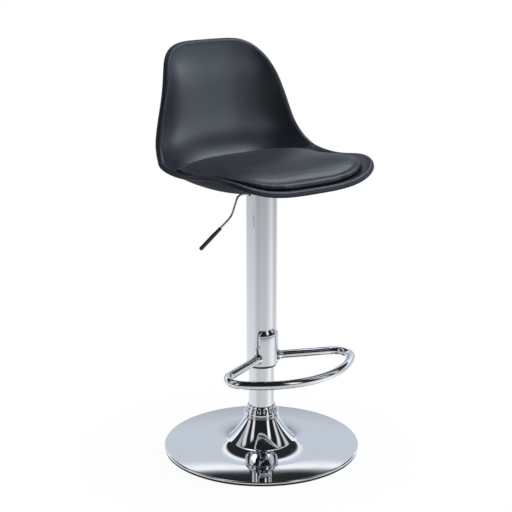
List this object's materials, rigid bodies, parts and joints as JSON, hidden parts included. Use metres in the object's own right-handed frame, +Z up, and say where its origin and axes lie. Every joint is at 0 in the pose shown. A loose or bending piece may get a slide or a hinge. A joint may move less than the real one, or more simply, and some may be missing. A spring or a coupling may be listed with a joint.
{
  "type": "counter stool",
  "caption": "Height-adjustable swivel stool: moulded bucket shell with a soft pad, chrome column with a looped footrest, gas lift with a side lever, round trumpet base.",
  "frame": {"origin": "on the floor, on the column's vertical axis", "axes": "+Z up; the seat's front faces -Y; +X is at the left hand of someone sitting on it; the lever is on -X"},
  "size_m": [0.385, 0.385, 0.7803],
  "materials": {
    "chrome": "mirror chrome plating",
    "steel": "bare machined steel",
    "dark_steel": "black painted steel",
    "brass": "turned brass",
    "black_plastic": "satin black moulded plastic",
    "shell_plastic": "satin charcoal moulded shell",
    "pad_leather": "soft black coated fabric with a fine grain",
    "rubber": "matt black rubber"
  },
  "bodies": {
    "base": {"base_plate": "chrome", "floor_ring": "rubber", "hub_plate": "steel", "tube_locknut": "steel", "neck_collar": "chrome", "stand_tube": "chrome", "guide_bush": "black_plastic", "tube_foot": "steel", "bearing_lower_race": "steel", "bearing_ball_cage": "steel"},
    "rod": {"bearing_upper_race": "steel", "piston_rod": "steel", "rod_clip": "steel", "piston_head": "black_plastic"},
    "seat_column": {"gas_cylinder": "dark_steel", "cylinder_gland": "black_plastic", "column_sleeve": "chrome", "sleeve_bush": "black_plastic", "sleeve_cap": "steel", "footrest_bracket": "chrome", "footrest_tube": "chrome", "seat_plate": "dark_steel", "lever_pin": "steel", "seat_screw_1": "steel", "seat_screw_2": "steel", "seat_screw_3": "steel", "seat_screw_4": "steel", "shell_insert_1": "brass", "shell_insert_2": "brass", "shell_insert_3": "brass", "shell_insert_4": "brass", "seat_shell": "shell_plastic", "seat_pad": "pad_leather"},
    "lever": {"lever_rod": "chrome", "lever_grip": "black_plastic"},
    "valve": {"valve_button": "steel"}
  },
  "joints": [
    {"name": "seat_swivel", "type": "hinge", "parent": "base", "child": "rod", "pos_m": [0, 0, 0.03], "axis": [0, 0, 1], "continuous": true},
    {"name": "seat_lift", "type": "slide", "parent": "rod", "child": "seat_column", "axis": [0, 0, 1], "range_m": [0, 0.21]},
    {"name": "lever_hinge", "type": "hinge", "parent": "seat_column", "child": "lever", "pos_m": [-0.0222, 0, 0.5118], "axis": [0, 1, 0], "range_deg": [0, 6], "stiffness_Nm_per_rad": 0.4, "springref_deg": -5.73},
    {"name": "valve_press", "type": "slide", "parent": "seat_column", "child": "valve", "axis": [0, 0, -1], "range_m": [0, 0.0028]}
  ],
  "couplings": [
    {"joint": "valve_press", "follows": "lever_hinge", "m_per_rad": 0.0257}
  ]
}
